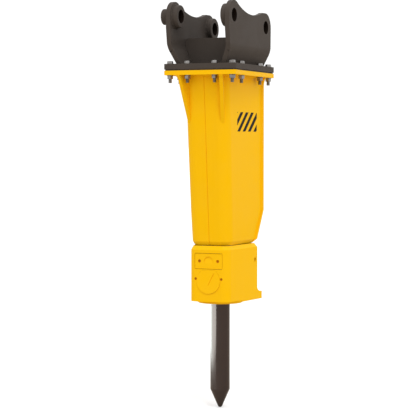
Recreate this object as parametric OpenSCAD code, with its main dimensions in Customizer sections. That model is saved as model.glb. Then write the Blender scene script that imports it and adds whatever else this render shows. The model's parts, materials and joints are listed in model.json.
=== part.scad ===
// Hydraulic breaker hammer: boxed housing, bolted top bracket, percussion cell and chisel.
// Millimetres. X runs along the bracket pins, +Y to the rear, +Z up.
// The origin is the middle of the stick pin bore. Below, heights are measured from the deck,
// the top face of the bracket's base plate, and Y from the tool's axis.

/* [Top bracket] */
// Width of the bracket's base plate and the housing flange, along the pins
plate_w = 385; // [360:1:460]
// Length of the base plate and the housing flange, front to rear
plate_l = 550; // [500:1:640]
// Thickness of the base plate
plate_t = 28; // [20:1:40]
// Corner radius of the base plate, the flange and the shim
plate_r = 10; // [4:1:16]
// Thickness of each ear
ear_t = 24; // [18:1:30]
// Distance between the outer faces of the ears
ear_span = 340; // [320:1:360]
// Height above the deck at which the ears start to bend inwards
bend_h = 101; // [90:1:115]
// Outer radius of the bend in the ears
bend_r = 100; // [85:1:115]
// Angle of the bent foot of the ears from upright
bend_a = 24.5; // [18:0.5:27]
// Radius of the rounded lobe round each pin bore
lobe_r = 74; // [66:1:80]
// Thickness of the two cross plates between the ears
cross_t = 20; // [14:1:28]
// Height of the cross plates above the deck
cross_h = 136; // [115:1:150]
// Distance from the tool's axis to the outer face of each cross plate
cross_y = 105; // [80:1:130]

/* [Pins of the excavator] */
// Diameter of both pin bores
pin_d = 65; // [55:1:75]
// Distance from the tool's axis forwards to the stick pin
stick_pin_y = 229; // [215:1:245]
// Height of the stick pin above the deck
stick_pin_z = 237; // [225:1:260]
// Distance from the tool's axis back to the link pin
link_pin_y = 210; // [195:1:225]
// Height of the link pin above the deck
link_pin_z = 203; // [190:1:215]
// Wall thickness of the bosses on the inner faces of the ears
boss_wall = 24; // [18:1:28]
// Clear gap between facing bosses
boss_gap = 233; // [215:1:250]
// Wall thickness of the pin lock collars on the left ear
collar_wall = 7.5; // [5:0.5:13]
// Length of the pin lock collars
collar_len = 42; // [34:1:50]
// Diameter of the cross hole for the pin lock bolt
lock_hole_d = 13; // [9:1:16]

/* [Flange joint] */
// Thickness of the shim plate between the base plate and the housing flange
shim_t = 6; // [4:1:12]
// How far the shim is set in from the plate edges
shim_inset = 4; // [2:1:12]
// Thickness of the housing flange
flange_t = 22; // [16:1:30]
// Thread diameter of the flange bolts
bolt_d = 18; // [16:1:20]
// Width across flats of the flange bolts and nuts
bolt_af = 27; // [24:1:28]
// Height of the flange bolt heads
bolt_head_h = 11.5; // [10:0.5:13]
// Height of the flange nuts
nut_h = 15.8; // [14:0.1:18]
// Outer diameter of the flange bolt washers
washer_d = 34; // [30:1:37]
// Thickness of the washers
washer_t = 3; // [2:0.5:4]
// Length of thread that shows below each nut
bolt_tail = 20; // [10:1:30]
// Distance of the bolt centres from the plate edges
bolt_edge = 25; // [22:1:30]
// Half the spacing of the inner bolts of the front and rear rows
bolt_mid_x = 73; // [65:1:80]
// Half the spacing of the inner bolts of the side rows
bolt_mid_y = 128; // [110:1:150]

/* [Upper housing] */
// Height of the upper housing below its flange
upper_h = 855; // [780:1:930]
// Wall thickness of the half shells
shell_t = 12; // [9:1:14]
// Half the width of the front face at the flange
front_w_top = 115; // [110:1:122]
// Half the width of the front face at the lower end
front_w_low = 106; // [103:1:112]
// Distance from the tool's axis to the front face at the flange
front_y_top = 215; // [200:1:225]
// Distance from the tool's axis to the front face at the lower end
front_y_low = 146; // [138:1:156]
// Half the width across the side walls at the rear, above the bend
rear_w = 145; // [138:1:152]
// Half the width across the side walls at the rear of the lower end
rear_w_low = 127; // [122:1:134]
// Distance from the tool's axis to the rear plate's inner face
rear_y = 207; // [200:1:214]
// Distance from the tool's axis to the rear plate's inner face at the lower end
rear_y_low = 147; // [140:1:158]
// Height of the bent foot of the rear plate
rear_foot_h = 169; // [140:1:200]
// Outer radius of the front corners
corner_r = 60; // [44:1:66]
// Size of the bevels along the front seam
seam = 3; // [1:0.5:5]
// Thickness of the rear plate
rear_t = 18; // [14:1:20]
// How far the rear plate stands out past the side walls
rear_lip = 9; // [6:1:10]
// Width of the hose window in the rear plate
window_w = 180; // [160:1:190]
// Height of the hose window
window_h = 150; // [130:1:170]
// Depth and height of the chamfer on the edges that meet at the joint
groove = 13; // [6:1:14]

/* [Front gussets] */
// Thickness of the two front gussets
gusset_t = 18; // [12:1:20]
// Height of the gussets
gusset_h = 236; // [200:1:270]
// Reach of the gussets along the flange
gusset_reach = 82; // [70:1:84]
// Size of the 45 degree corner cut
gusset_cut = 20; // [14:1:26]
// Angle of the gussets from straight ahead
gusset_a = 17; // [12:1:22]

/* [Lower housing] */
// Height of the lower housing
lower_h = 285; // [272:1:300]
// Wall thickness of the lower housing
lower_t = 12; // [9:1:14]
// Distance from the tool's axis to its front face
lower_y = 156; // [152:1:162]
// Half the width of its front face
lower_w = 105; // [103:1:110]
// Half the width across its side walls at the rear
lower_rear_w = 140; // [134:1:143]
// Distance from the tool's axis to its rear face
lower_rear_y = 168; // [160:1:172]
// Outer radius of its front corners
lower_r = 46; // [36:1:52]
// Thickness of the bottom plate
bottom_t = 20; // [14:1:26]
// Diameter of the two lifting holes near its rear edge
lift_hole_d = 24; // [18:1:28]
// Distance of the lifting holes below the upper housing
lift_hole_z = 87; // [80:1:110]
// Outer diameter of the ring under the bottom plate
ring_d = 238; // [210:1:244]
// Thickness of that ring
ring_t = 15; // [8:1:18]
// How far the foot stands out behind the lower housing
foot_out = 52; // [40:1:60]
// Thickness of the foot at its rear edge
foot_t = 39; // [32:1:46]
// How far the foot's rear edge hangs below the lower housing
foot_drop = 9; // [6:1:14]

/* [Front covers] */
// Width of the retainer pin cover
cover_w = 152; // [144:1:156]
// Height of the retainer pin cover
cover_h = 81; // [72:1:84]
// Corner radius of the retainer pin cover
cover_r = 6; // [3:1:12]
// Gap all round the retainer cover in its opening
cover_gap = 1.8; // [0.8:0.1:2.4]
// Gap all round the access disc in its opening
disc_gap = 0.5; // [0.3:0.1:1.5]
// How far the retainer cover's face stands behind the front face
cover_sink = 2.5; // [0:0.5:3]
// Half the spacing of the cover's screws
cover_screw_x = 49.5; // [46:0.5:54]
// Head diameter of the cover screws
cover_screw_d = 15; // [12:1:18]
// Diameter of the round access disc
disc_d = 128; // [110:1:132]
// Height of the disc's middle above the bottom of the lower housing
disc_z = 105; // [98:1:109]
// How far the disc's lower edge stands out from the front face
disc_out = 4; // [1:0.5:5]
// Distance of the two screws beside the disc from its edge
disc_screw_out = 6; // [5:1:10]
// Head diameter of the disc's screws
disc_screw_d = 13; // [10:1:16]

/* [Tool] */
// Diameter of the chisel
tool_d = 100; // [92:1:104]
// Overall length of the chisel
tool_len = 1010; // [960:1:1060]
// Length of the chisel's pointed end
tip_len = 94; // [70:1:130]
// Diameter of the blunt end of the point
tip_d = 22; // [12:1:30]
// Stroke of the chisel between its stops
tool_stroke = 80; // [60:1:90]
// Diameter of the two retaining pins
retainer_d = 32; // [26:1:36]
// How deep each retaining pin reaches into the chisel's side
retainer_bite = 14; // [10:0.5:16]
// Radial clearance of the sliding fits
slide_fit = 0.05; // [0.02:0.01:0.09]

/* [Percussion cell] */
// Wall between the tool bushings and the faces of the square cell
cell_wall = 19; // [17:0.5:21]
// Distance of the tie rods from the faces of the cell
rod_in = 19; // [17:0.5:20]
// Diameter of the tie rods
rod_d = 22; // [20:1:24]
// Height of the back head
back_h = 160; // [150:1:190]
// Height of the cylinder
cyl_h = 400; // [390:1:430]
// Diameter of the piston's lands
piston_d = 86; // [82:1:90]
// Diameter of the piston's lower end
piston_low_d = 78; // [72:1:79]
// Diameter of the piston's tail
tail_d = 60; // [52:1:66]
// Length of the piston
piston_len = 400; // [380:1:420]
// Wall thickness of the tool bushings
bush_wall = 11; // [9:0.5:12]
// Distance from the cylinder's lower end down to the top of the hanging chisel
tool_drop = 104; // [90:1:110]
// Thickness of the upper buffer
buffer_t = 50; // [40:1:60]
// Depth of the valve block behind the cylinder
valve_y = 66; // [58:1:74]
// Diameter of the valve spool
spool_d = 36; // [28:1:40]
// Stroke of the valve spool
spool_stroke = 12; // [8:1:14]
// Outer diameter of the accumulator
acc_d = 122; // [110:1:126]
// Thread diameter of the two hose adapters
port_d = 33; // [27:1:36]

/* [Hidden] */
$fn = 64;
steel_dark = "#4b4641";
yellow = "#f8c10f";
zinc = "#8c8a86";
bare = "#6e6a66";
rubber_black = "#222222";
through = 2;

// Diameters and places that follow the pins, the chisel and the disc
boss_d = pin_d + 2 * boss_wall;
collar_d = pin_d + 2 * collar_wall;
bush_d = tool_d + 2 * bush_wall;
cell_w = bush_d + 2 * cell_wall;
rod_xy = cell_w / 2 - rod_in;
retainer_x = tool_d / 2 + retainer_d / 2 - retainer_bite;
disc_screw_x = disc_d / 2 + disc_screw_out;

// Heights of the stack
shim_z = -plate_t;
flange_z = shim_z - shim_t;
upper_z = flange_z - flange_t;
joint_z = upper_z - upper_h;
lower_z = joint_z - lower_h;
bend_z = joint_z + rear_foot_h;
front_y_bend = front_y_low + (front_y_top - front_y_low) * rear_foot_h / upper_h;
front_w_bend = front_w_low + (front_w_top - front_w_low) * rear_foot_h / upper_h;

// Percussion cell, from the top down
head_z = shim_z - buffer_t;
cyl_z = head_z - back_h;
front_head_z = cyl_z - cyl_h;
buffer_low_z = lower_z + bottom_t;
lower_buffer_t = 36;
front_head_end = buffer_low_z + lower_buffer_t;
retainer_z = joint_z - 79;
cover_z = retainer_z;
tool_top_z = front_head_z - tool_drop;
tip_z = tool_top_z - tool_len;
impact_z = tool_top_z + tool_stroke + 0.5;
bush_len = 180;
upper_bush_z = front_head_z - 62;
lower_bush_z = lower_z + 2;
lower_bush_len = 170;
chamber_d = 90;
chamber_top = head_z - 40;
carrier_len = 62;
carrier_d = 100;
valve_x = 120;
valve_h = 220;
valve_z = cyl_z - 20 - valve_h;
spool_len = 120;
spool_y = cell_w / 2 + valve_y / 2 - 3;
acc_z = valve_z - 10 - acc_d / 2;
port_x = 36;
port_len = 46;
port_z = valve_z + 70;
window_z = port_z;

// Bolt centres
bolt_x = plate_w / 2 - bolt_edge;
bolt_y = plate_l / 2 - bolt_edge;
bolt_row = [-bolt_x, -bolt_mid_x, bolt_mid_x, bolt_x];
bolt_places = concat(
  [for (x = bolt_row, y = [-bolt_y, bolt_y]) [x, y]],
  [for (x = [-bolt_x, bolt_x], y = [-bolt_mid_y, bolt_mid_y]) [x, y]]);
bolt_hole_d = bolt_d + 2;
nut_z = upper_z - washer_t - nut_h;

// Moves a shape drawn from the deck and the tool's axis into the part's frame
module placed() {
  translate([0, stick_pin_y, -stick_pin_z]) children();
}

// A rounded plate lying flat, its top face at z
module flat_plate(w, l, t, r, z) {
  translate([0, 0, z - t]) linear_extrude(t) rounded(w, l, r);
}

// A rectangle with round corners
module rounded(w, l, r) {
  union() {
    square([w - 2 * r, l], center = true);
    square([w, l - 2 * r], center = true);
    for (x = [-1, 1], y = [-1, 1])
      translate([x * (w / 2 - r), y * (l / 2 - r)]) circle(r);
  }
}

// A rod along X, Y or Z from one point
module rod_x(d, from, to, y, z) {
  translate([from, y, z]) rotate([0, 90, 0]) cylinder(d = d, h = to - from);
}

module rod_y(d, from, to, x, z) {
  translate([x, from, z]) rotate([-90, 0, 0]) cylinder(d = d, h = to - from);
}

module rod_z(d, from, to, x = 0, y = 0) {
  translate([x, y, from]) cylinder(d = d, h = to - from);
}

// A chamfered hexagon, its base at z = 0
module hexagon(af, h) {
  intersection() {
    cylinder(d = af / cos(30), h = h, $fn = 6);
    cylinder(d1 = af * 1.15 + 2 * h, d2 = af * 0.96, h = h);
  }
}

// The bores of both pins
module pin_bores() {
  for (p = [[-stick_pin_y, stick_pin_z], [link_pin_y, link_pin_z]])
    rod_x(pin_d, -ear_span, ear_span, p[0], p[1]);
}

// Points of an arc about c, from one angle to another
function arc(c, r, from, to, step) = [for (a = [from:step:to]) c + r * [cos(a), sin(a)]];

// Points of a shallow arc from p to q that hangs down by sag
function hanging_arc(p, q, sag, n) =
  let (l = norm(q - p), u = (q - p) / l, down = [u[1], -u[0]],
    r = (l * l / 4 + sag * sag) / (2 * sag), half = asin(l / 2 / r))
  [for (i = [0:n]) let (a = half * (2 * i / n - 1))
    (p + q) / 2 + u * r * sin(a) + down * (sag - r * (1 - cos(a)))];

// Outline of an ear seen along the pins: two lobes, a saddle between them, drawn-in feet
module ear_outline() {
  saddle_sag = 35;
  foot_front = 25;
  foot_rear = 13;
  lobe = [-stick_pin_y + 5, stick_pin_z];
  link = [link_pin_y, link_pin_z];
  front_lobe = arc(lobe, lobe_r, 180, 62, -4);
  rear_lobe = arc(link, lobe_r, 92, 0, -4);
  saddle = hanging_arc(front_lobe[len(front_lobe) - 1], link + [-45, lobe_r - 1],
    saddle_sag, 24);
  polygon(concat([[-plate_l / 2 + foot_front, 0], [lobe[0] - lobe_r + 12, bend_h],
    [lobe[0] - lobe_r, stick_pin_z - 60]], front_lobe,
    [for (i = [1:len(saddle) - 1]) saddle[i]], rear_lobe,
    [[link_pin_y + lobe_r - 3, bend_h], [plate_l / 2 - foot_rear, 0]]));
}

// Outer or inner side of the bent right ear as seen from the front, from the deck up
function ear_side(x, r) = concat(
  [[x - r * (1 - cos(bend_a)) - (bend_h - bend_r * sin(bend_a)
    + (bend_r - r) * sin(bend_a)) * tan(bend_a), 0]],
  [for (i = [6:-1:0]) [x - r * (1 - cos(bend_a * i / 6)), bend_h - r * sin(bend_a * i / 6)]],
  [[x, stick_pin_z + 120]]);

function reversed(list) = [for (i = [len(list) - 1:-1:0]) list[i]];

inner_x = ear_span / 2 - ear_t;

module ear() {
  difference() {
    intersection() {
      translate([-ear_span, 0, 0]) rotate([90, 0, 90]) linear_extrude(2 * ear_span)
        ear_outline();
      translate([0, plate_l / 2 + 50, 0]) rotate([90, 0, 0]) linear_extrude(plate_l + 100)
        polygon(concat(ear_side(ear_span / 2, bend_r),
          reversed(ear_side(inner_x, bend_r - ear_t))));
    }
    pin_bores();
  }
}

module bracket_ear_right() {
  color(steel_dark) placed() ear();
}

module bracket_ear_left() {
  color(steel_dark) placed() mirror([1, 0, 0]) ear();
}

module bracket_base_plate() {
  color(steel_dark) placed() difference() {
    flat_plate(plate_w, plate_l, plate_t, plate_r, 0);
    for (p = bolt_places) rod_z(bolt_hole_d, -plate_t - through, through, p[0], p[1]);
  }
}

// A cross plate fills the space between the bent ears up to its round top corners
module cross_plate(y) {
  foot = ear_side(inner_x, bend_r - ear_t);
  side = [for (i = [0:len(foot) - 2]) foot[i]];
  top_r = 12;
  arc = [for (a = [0:15:90]) [inner_x - top_r + top_r * cos(a), cross_h - top_r + top_r * sin(a)]];
  half = concat(side, arc);
  translate([0, y + cross_t, 0]) rotate([90, 0, 0]) linear_extrude(cross_t)
    polygon(concat(half, reversed([for (p = half) [-p[0], p[1]]])));
}

module cross_plate_front() {
  color(steel_dark) placed() cross_plate(-cross_y);
}

module cross_plate_rear() {
  color(steel_dark) placed() cross_plate(cross_y - cross_t);
}

// A boss or collar on one pin's axis, with its outer edges broken
module pin_ring(d, from, to, y, z) {
  edge = 2.5;
  translate([from, y, z]) rotate([0, 90, 0]) rotate_extrude()
    polygon([[pin_d / 2, 0], [d / 2 - edge, 0], [d / 2, edge], [d / 2, to - from - edge],
      [d / 2 - edge, to - from], [pin_d / 2, to - from]]);
}

module ear_bosses() {
  color(steel_dark) placed() for (s = [0, 1]) mirror([s, 0, 0]) {
    pin_ring(boss_d, boss_gap / 2, inner_x, -stick_pin_y, stick_pin_z);
    pin_ring(boss_d, boss_gap / 2, inner_x, link_pin_y, link_pin_z);
  }
}

module pin_lock_collars() {
  end = -ear_span / 2 - collar_len;
  color(steel_dark) placed() difference() {
    union() {
      pin_ring(collar_d, end, -ear_span / 2, -stick_pin_y, stick_pin_z);
      pin_ring(collar_d, end, -ear_span / 2, link_pin_y, link_pin_z);
    }
    rod_z(lock_hole_d, stick_pin_z - collar_d, stick_pin_z + collar_d,
      end + collar_len / 2, -stick_pin_y);
    rod_z(lock_hole_d, link_pin_z - collar_d, link_pin_z + collar_d,
      end + collar_len / 2, link_pin_y);
  }
}

module flange_bolts() {
  color(zinc) placed() for (p = bolt_places) translate([p[0], p[1], 0]) {
    translate([0, 0, washer_t]) hexagon(bolt_af, bolt_head_h);
    rod_z(bolt_d, nut_z - bolt_tail, washer_t + 1);
  }
}

module bolt_washers() {
  color(zinc) placed() for (p = bolt_places, z = [0, upper_z - washer_t])
    translate([p[0], p[1], z]) difference() {
      cylinder(d = washer_d, h = washer_t);
      translate([0, 0, -through]) cylinder(d = bolt_d + 0.6, h = washer_t + 2 * through);
    }
}

module flange_nuts() {
  color(zinc) placed() for (p = bolt_places) translate([p[0], p[1], nut_z]) difference() {
    hexagon(bolt_af, nut_h);
    translate([0, 0, -through]) cylinder(d = bolt_d + 0.1, h = nut_h + 2 * through);
  }
}

module flange_shim() {
  color(steel_dark) placed() difference() {
    flat_plate(plate_w - 2 * shim_inset, plate_l - 2 * shim_inset, shim_t, plate_r, shim_z);
    translate([0, 0, shim_z - shim_t - through]) linear_extrude(shim_t + 2 * through)
      square(cell_w + 8, center = true);
    for (p = bolt_places)
      rod_z(bolt_hole_d, shim_z - shim_t - through, shim_z + through, p[0], p[1]);
  }
}

// Half plan of a housing, from the front seam round the corner to the rear edge, as points.
// The front face is at y = -fy and fw half wide, the rear edge at y = ry and rw from the middle.
// The front corner has radius r, and the whole is drawn inset by t from the sides and the front
function half_plan(fw, fy, rw, ry, r, t) =
  let (wall = (rw - fw) / (ry + fy), k = sqrt(1 + wall * wall), ri = r - t,
    c = [fw + wall * r - (t + ri) * k, -fy + r], last = 90 - atan(wall))
  concat([[0, -fy + t]],
    [for (i = [0:corner_steps]) let (a = last * i / corner_steps) c + ri * [sin(a), -cos(a)]],
    [[rw - t * k, ry]]);

corner_steps = 14;

function mirrored(list) = [for (p = list) [-p[0], p[1]]];

function full_plan(half) =
  let (side = [for (i = [1:len(half) - 1]) half[i]]) concat(side, reversed(mirrored(side)));

function at_height(plan, z) = [for (p = plan) [p[0], p[1], z]];

// Skins a stack of rings of points, from the lowest ring up
module loft(rings) {
  n = len(rings[0]);
  m = len(rings);
  polyhedron(points = [for (ring = rings, p = ring) p],
    faces = concat([[for (i = [0:n - 1]) i]],
      [for (k = [0:m - 2], i = [0:n - 1]) [k * n + i, (k + 1) * n + i, (k + 1) * n + (i + 1) % n]],
      [for (k = [0:m - 2], i = [0:n - 1]) [k * n + i, (k + 1) * n + (i + 1) % n, k * n + (i + 1) % n]],
      [[for (i = [n - 1:-1:0]) (m - 1) * n + i]]));
}

chamfer_h = groove * 1.5;
chamfer_in = groove - 2;
chamfer_share = chamfer_h / rear_foot_h;
chamfer_w = rear_w_low + (rear_w - rear_w_low) * chamfer_share;
chamfer_y = rear_y_low + (rear_y - rear_y_low) * chamfer_share;

// Half plans of the upper housing at its four levels, inset by t, or by low at the lower end
function low_half(low) =
  half_plan(front_w_low, front_y_low, rear_w_low, rear_y_low, corner_r, low);
function chamfer_half(t) =
  half_plan(front_w_low, front_y_low, chamfer_w, chamfer_y, corner_r, t);
function bend_half(t) =
  half_plan(front_w_bend, front_y_bend, rear_w, rear_y, corner_r, t);
function top_half(t) =
  half_plan(front_w_top, front_y_top, rear_w, rear_y, corner_r, t);

// Closes a half plan at x = middle; cut bevels its front corner for the seam
function closed_half(half, cut, middle) =
  concat([[middle, half[0][1] + cut], [middle + cut, half[0][1]]],
    [for (i = [1:len(half) - 1]) half[i]], [[middle, half[len(half) - 1][1]]]);

// Right half of the upper housing inset by t, or by low at the lower end, and run past both ends
module upper_half(t, low, cut, middle, past) {
  levels = [[low_half(low), joint_z], [chamfer_half(t), joint_z + chamfer_h],
    [bend_half(t), bend_z], [top_half(t), upper_z]];
  ends = [[low_half(low), joint_z - through], [top_half(t), upper_z + through]];
  used = past ? concat([ends[0]], levels, [ends[1]]) : levels;
  loft([for (level = used) at_height(closed_half(level[0], cut, middle), level[1])]);
}

// One bent half shell, from the front seam round the corner to the rear plate
module half_shell() {
  difference() {
    upper_half(0, chamfer_in, seam, 0, false);
    upper_half(shell_t, shell_t, 1, -through, true);
  }
}

// The solid within the outer faces of the upper housing, run past its top
module upper_core() {
  loft([at_height(full_plan(bend_half(0)), bend_z), at_height(full_plan(top_half(0)), upper_z),
    at_height(full_plan(top_half(0)), upper_z + through)]);
}

module housing_shell_right() {
  color(yellow) placed() half_shell();
}

module housing_shell_left() {
  color(yellow) placed() mirror([1, 0, 0]) half_shell();
}

module housing_flange() {
  hole_w = cell_w + 10;
  color(yellow) placed() difference() {
    flat_plate(plate_w, plate_l, flange_t, plate_r, flange_z);
    for (p = bolt_places)
      rod_z(bolt_hole_d, upper_z - through, flange_z + through, p[0], p[1]);
    translate([0, 0, upper_z - through]) linear_extrude(flange_t + 2 * through)
      rounded(hole_w, hole_w, 6);
  }
}

// Rear plate: upright to the bend, then a foot that leans forward, with a flared top
module housing_rear_plate() {
  flare = 38;
  flare_w = 21;
  w = rear_w + rear_lip;
  w_low = rear_w_low + rear_lip;
  side = concat([for (a = [0:15:90]) [w + flare_w * (1 - sin(a)), upper_z - flare * (1 - cos(a))]],
    [[w, bend_z], [w_low + (w - w_low) * chamfer_share, joint_z + chamfer_h],
      [rear_w_low - chamfer_in, joint_z]]);
  color(yellow) placed() difference() {
    intersection() {
      translate([0, rear_y + 150, 0]) rotate([90, 0, 0]) linear_extrude(400)
        polygon(concat(side, reversed([for (p = side) [-p[0], p[1]]])));
      translate([-400, 0, 0]) rotate([90, 0, 90]) linear_extrude(800)
        polygon([[rear_y, upper_z], [rear_y + rear_t, upper_z], [rear_y + rear_t, bend_z],
          [chamfer_y + rear_t, joint_z + chamfer_h], [rear_y_low + rear_t - chamfer_in, joint_z],
          [rear_y_low, joint_z], [rear_y, bend_z]]);
    }
    translate([0, rear_y + 200, window_z]) rotate([90, 0, 0]) linear_extrude(400)
      rounded(window_w, window_h, 24);
  }
}

// Front gusset in its own plane: reach along the flange, a 45 degree cut, then a long slope
module gusset() {
  root = 30;
  root_x = front_w_top - corner_r * 0.35;
  root_y = -front_y_top + corner_r * 0.22;
  lean_top = (front_y_top - front_y_low) * gusset_h / upper_h;
  difference() {
    translate([root_x, root_y, 0]) rotate([0, 0, -90 + gusset_a]) rotate([90, 0, 0])
      translate([0, 0, -gusset_t / 2]) linear_extrude(gusset_t)
        polygon([[-root, upper_z], [gusset_reach, upper_z],
          [gusset_reach - gusset_cut, upper_z - gusset_cut],
          [-lean_top + 4, upper_z - gusset_h], [-root - lean_top, upper_z - gusset_h]]);
    upper_core();
  }
}

module front_gusset_right() {
  color(yellow) placed() gusset();
}

module front_gusset_left() {
  color(yellow) placed() mirror([1, 0, 0]) gusset();
}

// Half plan of the lower housing, inset by t from the sides and by cut from the rear
function lower_half(t, cut = 0) =
  half_plan(lower_w, lower_y,
    lower_rear_w - (lower_rear_w - lower_w) * cut / (lower_rear_y + lower_y),
    lower_rear_y - cut, lower_r, t);

// The round access disc's outline with its top cut level, clear of the retainer cover
module disc_outline(d, top) {
  intersection() {
    circle(d / 2, $fn = 96);
    translate([-d, top - 2 * d]) square([2 * d, 2 * d]);
  }
}

// Height of the disc's level top above its middle
disc_top = cover_z - cover_h / 2 - 5 - lower_z - disc_z;

// Lower housing: a closed box with a bevelled top edge, its covers' openings and bottom plate
module lower_housing() {
  bevel = 22;
  color(yellow) placed() difference() {
    loft([at_height(full_plan(lower_half(0)), lower_z),
      at_height(full_plan(lower_half(0)), joint_z - bevel),
      at_height(full_plan(lower_half(groove, groove)), joint_z)]);
    translate([0, 0, lower_z + bottom_t]) linear_extrude(lower_h)
      polygon(full_plan(lower_half(lower_t, lower_t)));
    rod_z(bush_d + 6, lower_z - through, lower_z + bottom_t + through);
    translate([0, -lower_y - through, cover_z]) rotate([90, 0, 0])
      translate([0, 0, -lower_t - 2 * through]) linear_extrude(lower_t + 3 * through)
        rounded(cover_w, cover_h, cover_r);
    translate([0, -lower_y + lower_t + through, lower_z + disc_z]) rotate([90, 0, 0])
      linear_extrude(lower_t + 2 * through) disc_outline(disc_d, disc_top);
    for (s = [-1, 1]) {
      rod_y(disc_screw_d * 0.6, -lower_y - through, -lower_y + lower_t + through,
        s * disc_screw_x, disc_screw_z);
      rod_y(disc_screw_d + 1, -lower_y - through, -lower_y + 7.5, s * disc_screw_x,
        disc_screw_z);
    }
    rod_x(lift_hole_d, -200, 200, lower_rear_y - lift_hole_d / 2 - lower_t,
      joint_z - lift_hole_z);
  }
}

disc_screw_z = lower_z + disc_z + 11;

module front_ring() {
  edge = 7;
  color(yellow) placed() translate([0, 0, lower_z - ring_t]) rotate_extrude($fn = 96)
    polygon([[bush_d / 2 + 3, 0], [ring_d / 2 - edge, 0], [ring_d / 2, edge],
      [ring_d / 2, ring_t], [bush_d / 2 + 3, ring_t]]);
}

// Shelf behind the lower housing, level with its side walls and faired into its rear face
module rear_foot() {
  flare = 20;
  lip = 3;
  rear = lower_rear_y + foot_out;
  top = lower_z - foot_drop + foot_t;
  wall = (lower_rear_w - lower_w) / (lower_rear_y + lower_y);
  front_x = lower_rear_w - wall * lower_rear_y;
  rear_x = lower_rear_w + wall * foot_out;
  hole_x = lower_rear_w - 34;
  color(yellow) placed() difference() {
    intersection() {
      translate([-200, 0, 0]) rotate([90, 0, 90]) linear_extrude(400)
        polygon(concat([[0, lower_z], [0, lower_z - foot_drop], [rear, lower_z - foot_drop], [rear, top]],
          [for (a = [0:15:90]) [lower_rear_y + lip + (foot_out - 2 * lip) * (1 - sin(a)),
            top + flare * (1 - cos(a))]],
          [[lower_rear_y, top + flare], [lower_rear_y, lower_z]]));
      translate([0, 0, lower_z - 40]) linear_extrude(140)
        polygon([[-front_x, 0], [front_x, 0], [rear_x, rear], [-rear_x, rear]]);
    }
    rod_z(ring_d + 2, lower_z - 40, lower_z + 1);
    for (s = [-1, 1])
      rod_z(14, lower_z - 40, top + flare + 4, s * hole_x, lower_rear_y + foot_out * 0.6);
  }
}

// Cover over the retaining pins, with an arched finger pocket that runs out at its foot
module retainer_cover() {
  w = cover_w - 2 * cover_gap;
  h = cover_h - 2 * cover_gap;
  t = lower_t - cover_sink - 0.3;
  face = -lower_y + cover_sink;
  pocket_r = 25;
  pocket_low = -17;
  pocket_tilt = 7.5;
  color(yellow) placed() translate([0, face, cover_z]) rotate([90, 0, 0]) difference() {
    translate([0, 0, -t]) linear_extrude(t) rounded(w, h, cover_r - cover_gap);
    for (s = [-1, 1]) translate([s * cover_screw_x, 0, 0]) {
      translate([0, 0, -cover_screw_sink - cover_head_h])
        cylinder(d = cover_screw_d + 1, h = cover_screw_sink + cover_head_h + through);
      translate([0, 0, -t - through]) cylinder(d = 8.4, h = t + 2 * through);
    }
    translate([0, pocket_low, 0]) rotate([-pocket_tilt, 0, 0]) linear_extrude(20)
      translate([0, -pocket_low - 2]) intersection() {
        union() {
          circle(pocket_r);
          translate([-pocket_r, -pocket_r]) square([2 * pocket_r, pocket_r]);
        }
        translate([-pocket_r, pocket_low + 2]) square([2 * pocket_r, 3 * pocket_r]);
      }
  }
}

cover_screw_sink = 3;
cover_head_h = 5;
disc_screw_sink = 3;
disc_head_h = 4.5;

// Socket head screw along Y, its head's face at y = 0 and its shank to the rear
module socket_screw(head_d, head_h, shank_d, len) {
  difference() {
    union() {
      rod_y(head_d, 0, head_h, 0, 0);
      rod_y(shank_d, head_h - 1, len, 0, 0);
    }
    rotate([-90, 0, 0]) translate([0, 0, -through])
      cylinder(d = head_d * 0.55, h = head_h * 0.6 + through, $fn = 6);
  }
}

module cover_screws() {
  color(zinc) placed() for (s = [-1, 1])
    translate([s * cover_screw_x, -lower_y + cover_sink + cover_screw_sink, cover_z])
      socket_screw(cover_screw_d, cover_head_h, 8, 14);
}

// The disc leans: its face is flush at the top and stands out at the bottom
module access_disc() {
  d = disc_d - 2 * disc_gap;
  lean = atan(disc_out / d);
  face = -lower_y - disc_out / 2;
  color(yellow) placed() difference() {
    translate([0, -lower_y + lower_t - 0.3, lower_z + disc_z]) rotate([90, 0, 0])
      linear_extrude(lower_t - 0.3 + disc_out) disc_outline(d, disc_top - disc_gap);
    translate([0, face, lower_z + disc_z]) rotate([-lean, 0, 0]) {
      translate([-d, -20, -d]) cube([2 * d, 20, 2 * d]);
      translate([14.5, 0, 9]) rotate([0, 27, 0]) translate([-1.8, -1, -34]) cube([3.6, 3.5, 68]);
    }
    for (s = [-1, 1])
      rod_y(disc_screw_d + 2, face - disc_out, -lower_y + lower_t, s * disc_screw_x,
        disc_screw_z);
  }
}

module disc_screws() {
  color(zinc) placed() for (s = [-1, 1])
    translate([s * disc_screw_x, -lower_y + disc_screw_sink, disc_screw_z])
      socket_screw(disc_screw_d, disc_head_h, disc_screw_d * 0.6 - 0.2, 12);
}

// Square blocks of the percussion cell, z being the lower face
module cell_block(z, h) {
  translate([0, 0, z]) linear_extrude(h) rounded(cell_w, cell_w, 8);
}

module rod_holes(z, h, d) {
  for (x = [-1, 1], y = [-1, 1]) translate([x * rod_xy, y * rod_xy, z]) cylinder(d = d, h = h);
}

rod_low = front_head_z - 120;
nut_pocket = 30;
rod_nut_h = 20;
rod_nut_af = 34;

module upper_buffer() {
  color(rubber_black) placed() cell_block(head_z, buffer_t);
}

module back_head() {
  color(bare) placed() difference() {
    cell_block(cyl_z, back_h);
    rod_z(chamber_d, cyl_z - through, chamber_top);
    rod_holes(cyl_z - through, back_h + 2 * through, rod_d + 1);
    rod_holes(head_z - nut_pocket, nut_pocket + through, rod_nut_af * 1.155 + 2);
    rod_y(16, -cell_w / 2 - through, 0, 0, cyl_z + back_h / 2);
  }
}

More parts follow.
